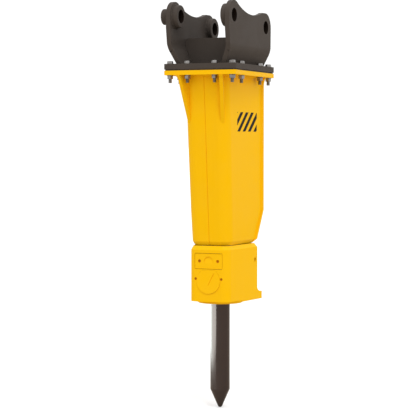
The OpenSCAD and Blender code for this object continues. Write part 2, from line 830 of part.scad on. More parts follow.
module gas_valve() {
  end = -cell_w / 2;
  z = cyl_z + back_h / 2;
  color("goldenrod") placed() {
    rod_y(15.8, end, -chamber_d / 2 - 6, 0, z);
    translate([0, end, z]) rotate([90, 0, 0]) hexagon(24, 10);
    rod_y(14, end - 18, end - 9, 0, z);
  }
}

module cylinder_bores() {
  land_top = cyl_z - carrier_len;
  shoulder = front_head_z + 153;
  rod_z(carrier_d + 0.1, land_top, cyl_z + through);
  rod_z(piston_d + 2 * slide_fit, shoulder, land_top + 1);
  rod_z(piston_low_d + 2 * slide_fit, front_head_z - through, shoulder + 1);
  for (z = [shoulder + 10, shoulder + 120]) rod_z(piston_d + 8, z, z + 14);
}

module cylinder_block() {
  difference() {
    cell_block(front_head_z, cyl_h);
    cylinder_bores();
    rod_holes(front_head_z - through, cyl_h + 2 * through, rod_d + 1);
  }
}

module cylinder_body() {
  color(bare) placed() cylinder_block();
}

module front_head() {
  color(bare) placed() difference() {
    cell_block(front_head_end, front_head_z - front_head_end);
    rod_z(tool_d + 8, front_head_end - through, front_head_z + through);
    rod_z(bush_d + 0.1, upper_bush_z - bush_len, upper_bush_z);
    rod_z(bush_d + 0.1, front_head_end - through, lower_bush_z + lower_bush_len);
    rod_holes(rod_low, front_head_z - rod_low + through, rod_d + 0.1);
    for (s = [-1, 1])
      rod_y(retainer_d + 0.2, -cell_w / 2 - through, cell_w / 2 - 12, s * retainer_x, retainer_z);
  }
}

module tie_rods() {
  color(zinc) placed() rod_holes(rod_low + 1, head_z - 4 - rod_low - 1, rod_d);
}

module tie_rod_nuts() {
  color(zinc) placed() for (x = [-1, 1], y = [-1, 1])
    translate([x * rod_xy, y * rod_xy, head_z - nut_pocket]) difference() {
      hexagon(rod_nut_af, rod_nut_h);
      translate([0, 0, -through]) cylinder(d = rod_d + 0.1, h = rod_nut_h + 2 * through);
    }
}

seal_w = 8;
seal_d = tail_d + 16;
seal_z = [for (i = [1, 2]) cyl_z - i * carrier_len / 3 - seal_w / 2];

module seal_carrier() {
  color("#9a8a5a") placed() difference() {
    rod_z(carrier_d, cyl_z - carrier_len, cyl_z);
    rod_z(tail_d + 2 * slide_fit, cyl_z - carrier_len - through, cyl_z + through);
    for (z = seal_z) rod_z(seal_d, z, z + seal_w);
  }
}

module piston_seals() {
  color(rubber_black) placed() for (z = seal_z) difference() {
    rod_z(seal_d - 0.1, z + 0.1, z + seal_w - 0.1);
    rod_z(tail_d + 2 * slide_fit, z - 1, z + seal_w + 1);
  }
}

// Piston at the level where it meets the raised chisel
module piston() {
  shoulder = front_head_z + 158 - impact_z;
  land = 30;
  waist = (piston_d - 10) / 2;
  tail_z = shoulder + 3 * land;
  color("silver") placed() translate([0, 0, impact_z]) rotate_extrude()
    polygon([[0, 0], [piston_low_d / 2 - 4, 0], [piston_low_d / 2, 4],
      [piston_low_d / 2, shoulder], [piston_d / 2, shoulder], [piston_d / 2, shoulder + land],
      [waist, shoulder + land], [waist, shoulder + 2 * land], [piston_d / 2, shoulder + 2 * land],
      [piston_d / 2, tail_z], [tail_d / 2, tail_z], [tail_d / 2, piston_len], [0, piston_len]]);
}

module valve_block() {
  back = cell_w / 2 + valve_y;
  color(bare) placed() difference() {
    translate([-valve_x / 2, cell_w / 2, valve_z]) cube([valve_x, valve_y, valve_h]);
    rod_z(spool_d + 2 * slide_fit, valve_z + 30, valve_z + valve_h + through, 0, spool_y);
    for (s = [-1, 1]) {
      rod_y(port_d - 3.9, back - 24, back + through, s * port_x, port_z);
      rod_z(8.1, valve_z + valve_h - 20, valve_z + valve_h + through, s * 44, spool_y);
    }
  }
}

module valve_cap() {
  color(bare) placed() difference() {
    translate([-valve_x / 2, cell_w / 2 + 1, valve_z + valve_h])
      cube([valve_x, valve_y - 4, 14]);
    for (s = [-1, 1]) rod_z(9, valve_z + valve_h - 1, valve_z + valve_h + 16, s * 44, spool_y);
  }
}

module valve_cap_screws() {
  z = valve_z + valve_h + 14;
  color(zinc) placed() for (s = [-1, 1]) {
    rod_z(13, z, z + 5.5, s * 44, spool_y);
    rod_z(8, z - 30, z + 1, s * 44, spool_y);
  }
}

module valve_spool() {
  z = valve_z + valve_h - spool_stroke - 2 - spool_len;
  r = spool_d / 2;
  color("silver") placed() translate([0, spool_y, z]) rotate_extrude()
    polygon([[0, 0], [r, 0], [r, 30], [r - 5, 30], [r - 5, 50], [r, 50], [r, 75], [r - 5, 75],
      [r - 5, 95], [r, 95], [r, spool_len], [0, spool_len]]);
}

// Hose adapters with a male end behind the valve block
module hose_port_adapters() {
  back = cell_w / 2 + valve_y;
  bore_d = 20;
  color(zinc) placed() for (s = [-1, 1]) difference() {
    union() {
      rod_y(port_d - 4, back - 22, back + 1, s * port_x, port_z);
      translate([s * port_x, back + 16, port_z]) rotate([90, 0, 0]) hexagon(46, 16);
      rod_y(port_d, back + 15, back + port_len, s * port_x, port_z);
    }
    rod_y(bore_d, back - 30, back + port_len + through, s * port_x, port_z);
  }
}

acc_base = cell_w / 2;
acc_split = acc_base + 46;
acc_cover_t = 34;

module accumulator_body() {
  color(bare) placed() difference() {
    rod_y(acc_d, acc_base, acc_split, 0, acc_z);
    rod_y(acc_d - 44, acc_base + 12, acc_split + through, 0, acc_z);
    for (a = [0:60:300]) acc_hole(a, 8.1, acc_split - 16, acc_split + through);
  }
}

module acc_hole(a, d, from, to) {
  r = acc_d / 2 - 9;
  rod_y(d, from, to, r * cos(a), acc_z + r * sin(a));
}

module accumulator_cover() {
  color(bare) placed() difference() {
    union() {
      rod_y(acc_d, acc_split + 0.2, acc_split + 20, 0, acc_z);
      rod_y(acc_d - 40, acc_split + 19, acc_split + acc_cover_t, 0, acc_z);
    }
    rod_y(acc_d - 56, acc_split - 1, acc_split + 22, 0, acc_z);
    for (a = [0:60:300]) acc_hole(a, 9, acc_split - 1, acc_split + 21);
  }
}

module accumulator_screws() {
  color(zinc) placed() for (a = [0:60:300]) {
    acc_hole(a, 12.6, acc_split + 20, acc_split + 26);
    acc_hole(a, 8, acc_split - 14, acc_split + 21);
  }
}

module accumulator_diaphragm() {
  color(rubber_black) placed() rod_y(acc_d - 46, acc_split - 6, acc_split - 1, 0, acc_z);
}

module bushing(from, to) {
  difference() {
    rod_z(bush_d, from, to);
    rod_z(tool_d + 2 * slide_fit, from - through, to + through);
  }
}

module upper_bushing() {
  color("#b08d57") placed() bushing(upper_bush_z - bush_len, upper_bush_z);
}

dust_w = 10;
dust_d = tool_d + 14;

module lower_bushing() {
  color("#b08d57") placed() difference() {
    bushing(lower_bush_z, lower_bush_z + lower_bush_len - 0.3);
    rod_z(dust_d, lower_bush_z + 8, lower_bush_z + 8 + dust_w);
  }
}

module dust_seal() {
  color(rubber_black) placed() difference() {
    rod_z(dust_d - 0.1, lower_bush_z + 8.1, lower_bush_z + 8 + dust_w - 0.1);
    rod_z(tool_d + 2 * slide_fit, lower_bush_z, lower_bush_z + 30);
  }
}

// Two hardened pins across the front head, half in the chisel's slots
module retaining_pins() {
  color("silver") placed() for (s = [-1, 1])
    rod_y(retainer_d, -cell_w / 2 + 2, cell_w / 2 - 13, s * retainer_x, retainer_z);
}

// Wear pads between the cell and the side walls
module side_wear_pads() {
  pad_t = 9;
  color(rubber_black) placed() for (s = [-1, 1], z = [cyl_z - 60, front_head_z - 120])
    translate([s * (cell_w / 2 + pad_t / 2), 20, z]) cube([pad_t, 90, 120], center = true);
}

module lower_buffer() {
  color(rubber_black) placed() difference() {
    cell_block(buffer_low_z, lower_buffer_t);
    rod_z(bush_d + 6, buffer_low_z - through, front_head_end + through);
  }
}

module grease_nipple() {
  z = front_head_z - 215;
  color(zinc) placed() {
    rod_x(10, cell_w / 2, cell_w / 2 + 7, 0, z);
    rod_x(6, cell_w / 2 + 6, cell_w / 2 + 9, 0, z);
  }
}

// Chisel: round bar with a blunt cone and two flat slots for the retaining pins
module chisel() {
  slot_top = retainer_z + retainer_d / 2 + 0.3;
  slot_low = retainer_z - retainer_d / 2 - tool_stroke - 1;
  flat = retainer_x - retainer_d / 2 - 0.5;
  nose = 5;
  color(steel_dark) placed() difference() {
    rotate_extrude($fn = 96)
      polygon([[0, tip_z], [tip_d / 2 - nose, tip_z], [tip_d / 2, tip_z + nose],
        [tool_d / 2, tip_z + tip_len], [tool_d / 2, tool_top_z - 6],
        [tool_d / 2 - 6, tool_top_z], [0, tool_top_z]]);
    for (s = [0, 1]) mirror([s, 0, 0])
      translate([flat, -tool_d, slot_low]) cube([tool_d, 2 * tool_d, slot_top - slot_low]);
  }
}

bracket_base_plate();
bracket_ear_left();
bracket_ear_right();
cross_plate_front();
cross_plate_rear();
ear_bosses();
pin_lock_collars();
flange_bolts();
bolt_washers();
flange_nuts();
flange_shim();
housing_flange();
housing_shell_left();
housing_shell_right();
housing_rear_plate();
front_gusset_left();
front_gusset_right();
lower_housing();
front_ring();
rear_foot();
retainer_cover();
cover_screws();
access_disc();
disc_screws();
upper_buffer();
back_head();
gas_valve();
cylinder_body();  // cylinder
front_head();
tie_rods();
tie_rod_nuts();
seal_carrier();
piston_seals();
piston();
valve_block();
valve_cap();
valve_cap_screws();
valve_spool();
hose_port_adapters();
accumulator_body();
accumulator_cover();
accumulator_screws();
accumulator_diaphragm();
upper_bushing();
lower_bushing();
dust_seal();
retaining_pins();
side_wear_pads();
lower_buffer();
grease_nipple();
chisel();
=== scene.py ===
import json
import math

import bmesh
import bpy
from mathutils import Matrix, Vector
from mathutils.bvhtree import BVHTree


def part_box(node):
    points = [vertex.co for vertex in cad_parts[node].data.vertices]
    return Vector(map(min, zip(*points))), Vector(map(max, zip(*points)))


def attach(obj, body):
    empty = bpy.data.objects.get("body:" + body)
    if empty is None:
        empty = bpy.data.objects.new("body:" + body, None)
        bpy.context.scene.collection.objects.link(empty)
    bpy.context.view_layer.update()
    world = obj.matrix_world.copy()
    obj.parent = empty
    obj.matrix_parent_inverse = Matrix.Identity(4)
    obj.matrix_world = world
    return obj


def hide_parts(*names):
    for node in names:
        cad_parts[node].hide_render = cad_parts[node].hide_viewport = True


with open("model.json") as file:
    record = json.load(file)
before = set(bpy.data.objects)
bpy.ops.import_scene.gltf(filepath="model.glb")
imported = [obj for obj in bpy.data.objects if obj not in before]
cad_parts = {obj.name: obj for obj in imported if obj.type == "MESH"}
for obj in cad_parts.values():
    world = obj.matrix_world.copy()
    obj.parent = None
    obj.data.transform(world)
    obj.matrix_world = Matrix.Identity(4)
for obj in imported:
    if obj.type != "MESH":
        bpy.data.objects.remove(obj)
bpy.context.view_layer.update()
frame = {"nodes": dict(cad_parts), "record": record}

# ---------------------------------------------------------------------------
# The studio: a pale floor under the chisel's point, a white sky, a soft sun from
# the front right, and one wide panel at the left that lights only the chisel. How
# the floor and sky light the steel is set apart from how white they look.
# ---------------------------------------------------------------------------
scene = bpy.context.scene
scene.view_settings.view_transform = "Standard"

tool_axis = Vector((0.0, 0.229, 0.0))
point_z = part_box("chisel")[0].z

camera_turn = math.radians(22.4)
camera_reach = 7.916
camera_z = -0.631
aim_side = -0.0085
aim_drop = -0.04145
ahead = Vector((-math.sin(camera_turn), math.cos(camera_turn), 0.0))
side = Vector((math.cos(camera_turn), math.sin(camera_turn), 0.0))
camera_data = bpy.data.cameras.new("camera")
camera_data.lens = 134.4
camera_data.sensor_width = 36.0
camera = bpy.data.objects.new("camera", camera_data)
camera.location = tool_axis - ahead * camera_reach + Vector((0, 0, camera_z))
aim = ahead + side * aim_side + Vector((0, 0, aim_drop))
camera.rotation_mode = "QUATERNION"
camera.rotation_quaternion = aim.to_track_quat("-Z", "Y")
scene.collection.objects.link(camera)
scene.camera = camera

floor_mesh = bpy.data.meshes.new("studio_floor")
floor_form = bmesh.new()
bmesh.ops.create_circle(floor_form, cap_ends=True, segments=64, radius=400.0)
floor_form.to_mesh(floor_mesh)
floor_form.free()
floor = bpy.data.objects.new("studio_floor", floor_mesh)
floor.location = (0.0, tool_axis.y, point_z - 0.001)
scene.collection.objects.link(floor)
floor_paint = bpy.data.materials.new("floor_paint")
floor_paint.use_nodes = True
floor_tree = floor_paint.node_tree
floor_shader = floor_tree.nodes["Principled BSDF"]
floor_shader.inputs["Base Color"].default_value = (0.97, 0.97, 0.97, 1)
floor_shader.inputs["Roughness"].default_value = 0.9
floor_shader.inputs["Specular IOR Level"].default_value = 0.1
bounce = floor_tree.nodes.new("ShaderNodeBsdfDiffuse")
bounce.inputs["Color"].default_value = (0.57, 0.51, 0.44, 1)
seen_floor = floor_tree.nodes.new("ShaderNodeMixShader")
direct_look = floor_tree.nodes.new("ShaderNodeLightPath")
floor_tree.links.new(direct_look.outputs["Is Camera Ray"], seen_floor.inputs[0])
floor_tree.links.new(bounce.outputs[0], seen_floor.inputs[1])
floor_tree.links.new(floor_shader.outputs[0], seen_floor.inputs[2])
floor_tree.links.new(seen_floor.outputs[0], floor_tree.nodes["Material Output"].inputs[0])
floor_mesh.materials.append(floor_paint)

sky = bpy.data.worlds.new("white_sky")
sky.use_nodes = True
seen_sky = sky.node_tree.nodes["Background"]
seen_sky.inputs["Strength"].default_value = 1.1
seen_sky.inputs["Color"].default_value = (1.0, 1.0, 1.0, 1)
lit_sky = sky.node_tree.nodes.new("ShaderNodeBackground")
lit_sky.inputs["Color"].default_value = (1.0, 1.0, 1.0, 1)
lit_sky.inputs["Strength"].default_value = 1.13
which_sky = sky.node_tree.nodes.new("ShaderNodeMixShader")
looking = sky.node_tree.nodes.new("ShaderNodeLightPath")
sky.node_tree.links.new(looking.outputs["Is Camera Ray"], which_sky.inputs[0])
sky.node_tree.links.new(lit_sky.outputs[0], which_sky.inputs[1])
sky.node_tree.links.new(seen_sky.outputs[0], which_sky.inputs[2])
sky.node_tree.links.new(which_sky.outputs[0], sky.node_tree.nodes["World Output"].inputs[0])
scene.world = sky

sun_data = bpy.data.lights.new("soft_sun", "SUN")
sun_data.energy = 0.7
sun_data.angle = math.radians(16)
sun = bpy.data.objects.new("soft_sun", sun_data)
sun.rotation_mode = "QUATERNION"
sun_heading = Vector((-0.37, 0.42, -0.83))
sun.rotation_quaternion = sun_heading.to_track_quat("-Z", "Y")
scene.collection.objects.link(sun)

panel_data = bpy.data.lights.new("side_panel", "AREA")
panel_data.shape = "RECTANGLE"
panel_data.size = 4.0
panel_data.size_y = 2.2
panel_data.energy = 205
panel_data.color = (0.82, 1.0, 1.0)
panel = bpy.data.objects.new("side_panel", panel_data)
panel_turn = math.radians(100)
panel_reach = 1.5
panel_aim = tool_axis + Vector((0, 0, -1.2))
panel.location = (panel_aim - ahead * panel_reach * math.cos(panel_turn)
                  - side * panel_reach * math.sin(panel_turn))
panel.rotation_mode = "QUATERNION"
panel.rotation_quaternion = (panel_aim - panel.location).to_track_quat("-Z", "Y")
scene.collection.objects.link(panel)
panel_shines_on = bpy.data.collections.new("side_panel_shines_on")
panel_shines_on.objects.link(frame["nodes"]["chisel"])
panel.light_linking.receiver_collection = panel_shines_on

# ---------------------------------------------------------------------------
# Top bracket: base plate, two bent ears, two cross plates, bosses and lock collars.
# Thick plate, flame cut, bent and welded, then sprayed in one dark umber grey coat.
# ---------------------------------------------------------------------------


def new_effect(name, inputs, outputs):
    """An empty node group with named inputs (name, kind, default) and outputs (name, kind)."""
    group = bpy.data.node_groups.new(name, "ShaderNodeTree")
    kinds = {"value": "NodeSocketFloat", "colour": "NodeSocketColor", "vector": "NodeSocketVector"}
    for label, kind, default in inputs:
        socket = group.interface.new_socket(label, in_out="INPUT", socket_type=kinds[kind])
        if default is not None:
            socket.default_value = default
    for label, kind in outputs:
        group.interface.new_socket(label, in_out="OUTPUT", socket_type=kinds[kind])
    start = group.nodes.new("NodeGroupInput")
    end = group.nodes.new("NodeGroupOutput")
    return group, start.outputs, end.inputs


def add(tree, kind, inputs=(), **settings):
    """One shader node with its settings, its sockets fed from values or from other sockets."""
    node = tree.nodes.new(kind)
    for key, value in settings.items():
        setattr(node, key, value)
    for key, value in dict(inputs).items():
        if isinstance(value, bpy.types.NodeSocket):
            tree.links.new(value, node.inputs[key])
        else:
            node.inputs[key].default_value = value
    return node


def spray_skin():
    """Sprayed paint: the fine orange peel of the coat, and slow drifts in tone and gloss."""
    group, give, take = new_effect(
        "spray_skin",
        [("Peel Size", "value", 260.0), ("Peel Depth", "value", 0.1), ("Gloss", "value", 0.4),
         ("Gloss Drift", "value", 0.08)],
        [("Tone", "value"), ("Roughness", "value"), ("Normal", "vector")])
    where = add(group, "ShaderNodeTexCoord").outputs["Object"]
    peel = add(group, "ShaderNodeTexNoise", {"Vector": where, "Scale": give["Peel Size"],
               "Detail": 2.0, "Roughness": 0.45})
    bump = add(group, "ShaderNodeBump", {"Height": peel.outputs["Fac"], "Strength": give["Peel Depth"],
               "Distance": 0.001})
    drift = add(group, "ShaderNodeTexNoise", {"Vector": where, "Scale": 5.5, "Detail": 5.0,
                "Roughness": 0.6})
    spread = add(group, "ShaderNodeMapRange", {"Value": drift.outputs["Fac"], "From Min": 0.3,
                 "From Max": 0.7, "To Min": -1.0, "To Max": 1.0})
    gloss = add(group, "ShaderNodeMath", {0: spread.outputs[0], 1: give["Gloss Drift"], 2: give["Gloss"]},
                operation="MULTIPLY_ADD")
    group.links.new(drift.outputs["Fac"], take["Tone"])
    group.links.new(gloss.outputs[0], take["Roughness"])
    group.links.new(bump.outputs["Normal"], take["Normal"])
    return group


def rubbed_edges():
    """A mask of the outer edges where handling has thinned the paint, broken up by noise."""
    group, give, take = new_effect(
        "rubbed_edges",
        [("Width", "value", 0.003), ("Amount", "value", 0.5), ("Break Up", "value", 60.0)],
        [("Mask", "value")])
    round_normal = add(group, "ShaderNodeBevel", {"Radius": give["Width"]}, samples=6)
    true_normal = add(group, "ShaderNodeNewGeometry").outputs["Normal"]
    turn = add(group, "ShaderNodeVectorMath", {0: round_normal.outputs[0], 1: true_normal},
               operation="DOT_PRODUCT")
    edge = add(group, "ShaderNodeMapRange", {"Value": turn.outputs["Value"], "From Min": 0.995,
               "From Max": 0.86})
    where = add(group, "ShaderNodeTexCoord").outputs["Object"]
    grain = add(group, "ShaderNodeTexNoise", {"Vector": where, "Scale": give["Break Up"],
                "Detail": 6.0, "Roughness": 0.7})
    patchy = add(group, "ShaderNodeMapRange", {"Value": grain.outputs["Fac"], "From Min": 0.5,
                 "From Max": 0.66})
    both = add(group, "ShaderNodeMath", {0: edge.outputs[0], 1: patchy.outputs[0]}, operation="MULTIPLY")
    mask = add(group, "ShaderNodeMath", {0: both.outputs[0], 1: give["Amount"]}, operation="MULTIPLY",
               use_clamp=True)
    group.links.new(mask.outputs[0], take["Mask"])
    return group


def settled_dust():
    """A mask of pale site dust: on faces that look up, and in cloudy patches everywhere."""
    group, give, take = new_effect(
        "settled_dust",
        [("Top", "value", 0.3), ("All Over", "value", 0.05), ("Patch Size", "value", 9.0)],
        [("Mask", "value")])
    normal = add(group, "ShaderNodeNewGeometry").outputs["Normal"]
    up = add(group, "ShaderNodeSeparateXYZ", {0: normal}).outputs["Z"]
    top = add(group, "ShaderNodeMapRange", {"Value": up, "From Min": 0.35, "From Max": 1.0})
    where = add(group, "ShaderNodeTexCoord").outputs["Object"]
    cloud = add(group, "ShaderNodeTexNoise", {"Vector": where, "Scale": give["Patch Size"],
                "Detail": 8.0, "Roughness": 0.65})
    patch = add(group, "ShaderNodeMapRange", {"Value": cloud.outputs["Fac"], "From Min": 0.35,
                "From Max": 0.75})
    lying = add(group, "ShaderNodeMath", {0: top.outputs[0], 1: give["Top"], 2: give["All Over"]},
                operation="MULTIPLY_ADD")
    mask = add(group, "ShaderNodeMath", {0: lying.outputs[0], 1: patch.outputs[0]},
               operation="MULTIPLY", use_clamp=True)
    group.links.new(mask.outputs[0], take["Mask"])
    return group


effects = {"skin": spray_skin(), "edges": rubbed_edges(), "dust": settled_dust()}


def place(tree, effect, inputs=()):
    """A shared effect placed in one material with that material's own values."""
    node = tree.nodes.new("ShaderNodeGroup")
    node.node_tree = effects[effect]
    for key, value in dict(inputs).items():
        node.inputs[key].default_value = value
    return node.outputs


def blend_colours(tree, mask, under, over):
    """The colour over where the mask is 1, the colour under where it is 0."""
    mix = tree.nodes.new("ShaderNodeMix")
    mix.data_type = "RGBA"
    for socket, value in ((mix.inputs[0], mask), (mix.inputs[6], under), (mix.inputs[7], over)):
        if isinstance(value, bpy.types.NodeSocket):
            tree.links.new(value, socket)
        else:
            socket.default_value = value
    return mix.outputs[2]


def new_finish(name):
    """An empty material, its node tree and its Principled shader."""
    material = bpy.data.materials.new(name)
    material.use_nodes = True
    return material, material.node_tree, material.node_tree.nodes["Principled BSDF"]


def sprayed_plate(name, colour, faded, worn, dust, gloss, ior, peel=0.08, rub=0.5, top_dust=0.3,
                  bores=(), bore_r=0.0, bore_colour=None):
    """Paint sprayed on plate steel: two close tones, rubbed edges, site dust, and the pin bores with a thin
    ring round them darker.
    """
    material, tree, shader = new_finish(name)
    skin = place(tree, "skin", {"Gloss": gloss, "Peel Depth": peel})
    edges = place(tree, "edges", {"Amount": rub})
    film = place(tree, "dust", {"Top": top_dust, "All Over": top_dust * 0.25})
    coat = blend_colours(tree, skin["Tone"], colour, faded)
    rubbed = blend_colours(tree, edges["Mask"], coat, worn)
    surface = blend_colours(tree, film["Mask"], rubbed, dust)
    where = add(tree, "ShaderNodeTexCoord").outputs["Object"] if bores else None
    # Inside each pin bore and in a ring up to two and a half millimetres round it the colour goes to a
    # near-black brown.
    for centre in bores:
        across = add(tree, "ShaderNodeVectorMath", {0: where, 1: (0, 1, 1)}, operation="MULTIPLY")
        reach = add(tree, "ShaderNodeVectorMath", {0: across.outputs[0], 1: (0, centre.y, centre.z)},
                    operation="DISTANCE")
        inside = add(tree, "ShaderNodeMapRange", {"Value": reach.outputs["Value"],
                     "From Min": bore_r + 0.0025, "From Max": bore_r + 0.0010})
        surface = blend_colours(tree, inside.outputs[0], surface, bore_colour)
    tree.links.new(surface, shader.inputs["Base Color"])
    tree.links.new(skin["Roughness"], shader.inputs["Roughness"])
    tree.links.new(skin["Normal"], shader.inputs["Normal"])
    shader.inputs["IOR"].default_value = ior
    return material


def dress(names, material, edge=0.0, sharp=32.0):
    """Gives CAD nodes their finish, smooth round faces and, with edge, broken edges."""
    for name in names:
        piece = frame["nodes"][name]
        piece.data.materials.clear()
        piece.data.materials.append(material)
        weld = piece.modifiers.new("one_skin", "WELD")
        weld.merge_threshold = 0.00002
        piece.data.polygons.foreach_set("use_smooth", [True] * len(piece.data.polygons))
        piece.data.set_sharp_from_angle(angle=math.radians(sharp))
        if edge:
            broken = piece.modifiers.new("broken_edges", "BEVEL")
            broken.width = edge
            broken.segments = 2
            broken.limit_method = "ANGLE"
            broken.angle_limit = math.radians(sharp)
            broken.use_clamp_overlap = True
        level = piece.modifiers.new("level_faces", "WEIGHTED_NORMAL")
        level.weight = 100
        level.keep_sharp = True


mounts = {mount["name"]: Vector(mount["pos_m"]) for mount in frame["record"]["mounts"]}
pin_bores = [mounts["stick_pin_bore"], mounts["link_pin_bore"]]
pin_r = 0.0325
dark_paint = sprayed_plate(
    "umber_grey_paint", colour=(0.064, 0.053, 0.046, 1), faded=(0.072, 0.060, 0.052, 1),
    worn=(0.16, 0.15, 0.14, 1), dust=(0.20, 0.17, 0.15, 1), gloss=0.44, ior=1.09, top_dust=0.22,
    bores=pin_bores, bore_r=pin_r, bore_colour=(0.012, 0.008, 0.006, 1))
dress(["bracket_base_plate", "bracket_ear_left", "bracket_ear_right", "cross_plate_front",
       "cross_plate_rear"], dark_paint, edge=0.002)
dress(["ear_bosses", "pin_lock_collars"], dark_paint, edge=0.0012)
dress(["flange_shim"], dark_paint, edge=0.001)


def weld_runs(name, runs, bead, material):
    """Weld beads along runs of points: round beads, half sunk in the corner, with even ripples."""
    ripple = 0.0045
    sides = 8
    form = bmesh.new()
    for run in runs:
        points = [run[0]]
        for start, end in zip(run, run[1:]):
            steps = max(1, round((end - start).length / (ripple / 3)))
            points += [start.lerp(end, i / steps) for i in range(1, steps + 1)]
        rings = []
        for i, point in enumerate(points):
            along = (points[min(i + 1, len(points) - 1)] - points[max(i - 1, 0)]).normalized()
            across = along.orthogonal() if i == 0 else (across - along * across.dot(along)).normalized()
            across.normalize()
            swell = 1.0 + 0.09 * math.sin(i * math.tau / 3 + 0.7) + 0.05 * math.sin(i * 0.37)
            end_taper = min(1.0, 0.35 + 0.2 * min(i, len(points) - 1 - i))
            turn = along.cross(across)
            rings.append([form.verts.new(point + (across * math.cos(k * math.tau / sides)
                          + turn * math.sin(k * math.tau / sides)) * bead * swell * end_taper)
                          for k in range(sides)])
        for low, high in zip(rings, rings[1:]):
            for k in range(sides):
                form.faces.new((low[k], low[(k + 1) % sides], high[(k + 1) % sides], high[k]))
        form.faces.new(reversed(rings[0]))
        form.faces.new(rings[-1])
    mesh = bpy.data.meshes.new(name)
    form.to_mesh(mesh)
    form.free()
    mesh.polygons.foreach_set("use_smooth", [True] * len(mesh.polygons))
    mesh.materials.append(material)
    piece = bpy.data.objects.new(name, mesh)
    scene.collection.objects.link(piece)
    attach(piece, "housing")
    return piece


def ring_run(centre, radius, axis, turns=48):
    """A closed run round a boss or a ring."""
    one = axis.orthogonal().normalized()
    two = axis.cross(one)
    return [centre + (one * math.cos(i * math.tau / turns) + two * math.sin(i * math.tau / turns)) * radius
            for i in range(turns + 1)]


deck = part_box("bracket_base_plate")[1].z


def foot_corners(node):
    """The four corners of a plate's foot on the deck, as its least and greatest x and y."""
    feet = [v.co for v in frame["nodes"][node].data.vertices if v.co.z < deck + 0.0005]
    return [min(c.x for c in feet), max(c.x for c in feet), min(c.y for c in feet), max(c.y for c in feet)]


weld_inset = 0.004
bracket_runs = []
for ear in ("bracket_ear_left", "bracket_ear_right"):
    x_low, x_high, y_low, y_high = foot_corners(ear)
    for x in (x_low, x_high):
        bracket_runs.append([Vector((x, y_low + weld_inset, deck)),
                             Vector((x, y_high - weld_inset, deck))])
for plate in ("cross_plate_front", "cross_plate_rear"):
    x_low, x_high, y_low, y_high = foot_corners(plate)
    for y in (y_low, y_high):
        bracket_runs.append([Vector((x_low, y, deck)), Vector((x_high, y, deck))])
boss_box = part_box("ear_bosses")
collar_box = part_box("pin_lock_collars")
ear_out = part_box("bracket_ear_right")[1].x
boss_r = boss_box[1].z
collar_r = collar_box[1].z
for bore in pin_bores:
    for x in (boss_box[0].x, boss_box[1].x):
        bracket_runs.append(ring_run(Vector((x, bore.y, bore.z)), boss_r + 0.001, Vector((1, 0, 0))))
    bracket_runs.append(ring_run(Vector((-ear_out, bore.y, bore.z)), collar_r + 0.001, Vector((1, 0, 0))))
weld_runs("bracket_welds", bracket_runs, 0.0048, dark_paint)

# ---------------------------------------------------------------------------
# The yellow housing: flange, two bent half shells with a seam down the front,
# rear plate and gussets. Bent and welded plate in one semi-gloss coat.
# ---------------------------------------------------------------------------
yellow_paint = sprayed_plate(
    "signal_yellow_paint", colour=(0.93, 0.51, 0.002, 1), faded=(0.96, 0.54, 0.003, 1),
    worn=(0.62, 0.33, 0.02, 1), dust=(0.72, 0.50, 0.16, 1), gloss=0.38, ior=1.11,
    peel=0.05, rub=0.22, top_dust=0.12)
dress(["housing_flange"], yellow_paint, edge=0.0025)
dress(["housing_shell_left", "housing_shell_right"], yellow_paint, edge=0.0008, sharp=16.0)
dress(["housing_rear_plate", "front_gusset_left", "front_gusset_right"], yellow_paint, edge=0.002,
      sharp=20.0)


def outline(points):
    """The points on the outside of a flat group, in order round it."""
    ordered = sorted({(round(p.x, 5), round(p.y, 5)) for p in points})
    halves = []
    for run in (ordered, ordered[::-1]):
        chain = []
        for p in run:
            while len(chain) > 1 and ((chain[-1][0] - chain[-2][0]) * (p[1] - chain[-2][1])
                                      <= (chain[-1][1] - chain[-2][1]) * (p[0] - chain[-2][0])):
                chain.pop()
            chain.append(p)
        halves.append(chain[:-1])
    return halves[0] + halves[1]


under_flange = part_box("housing_flange")[0].z
shell_tops = [v.co for side in ("left", "right")
              for v in frame["nodes"]["housing_shell_" + side].data.vertices
              if v.co.z > under_flange - 0.0005]
top_ring = [Vector((x, y, under_flange)) for x, y in outline(shell_tops)]
rear_edge = max(p.y for p in top_ring)
corner = min(range(len(top_ring)), key=lambda i: (top_ring[i] - Vector((-1, 1, under_flange))).length)
top_run = top_ring[corner:] + top_ring[:corner]
housing_runs = [top_run]
for turn in (-1, 1):
    wall = [v.co for v in frame["nodes"]["housing_shell_" + ("right" if turn > 0 else "left")].data.vertices]
    x_far = max(abs(v.x) for v in wall)
    seam_top = Vector((turn * x_far, rear_edge, under_flange))
    seam_bend = min((v for v in wall if abs(v.x) > x_far - 0.0003 and v.y > rear_edge - 0.0003),
                    key=lambda v: v.z)
    housing_runs.append([seam_top, seam_bend.copy()])
weld_runs("housing_welds", housing_runs, 0.0042, yellow_paint)

# ---------------------------------------------------------------------------
# Safety stripes: one block of slanted bars on each side wall, cut from black
# vinyl film and pressed on the paint. They carry no lettering.
# ---------------------------------------------------------------------------
film_width = 0.226
film_height = 0.098
film_middle = Vector((0.0, 0.272, -0.524))
stripe_pitch = 0.062


def clipped(corners, axis, limit, keep_above):
    """Cuts a flat outline along one straight line."""
    kept = []
    for start, end in zip(corners, corners[1:] + corners[:1]):
        a_in = (start[axis] >= limit) == keep_above
        b_in = (end[axis] >= limit) == keep_above
        if a_in:
            kept.append(start)
        if a_in != b_in:
            share = (limit - start[axis]) / (end[axis] - start[axis])
            kept.append(tuple(s + (t - s) * share for s, t in zip(start, end)))
    return kept


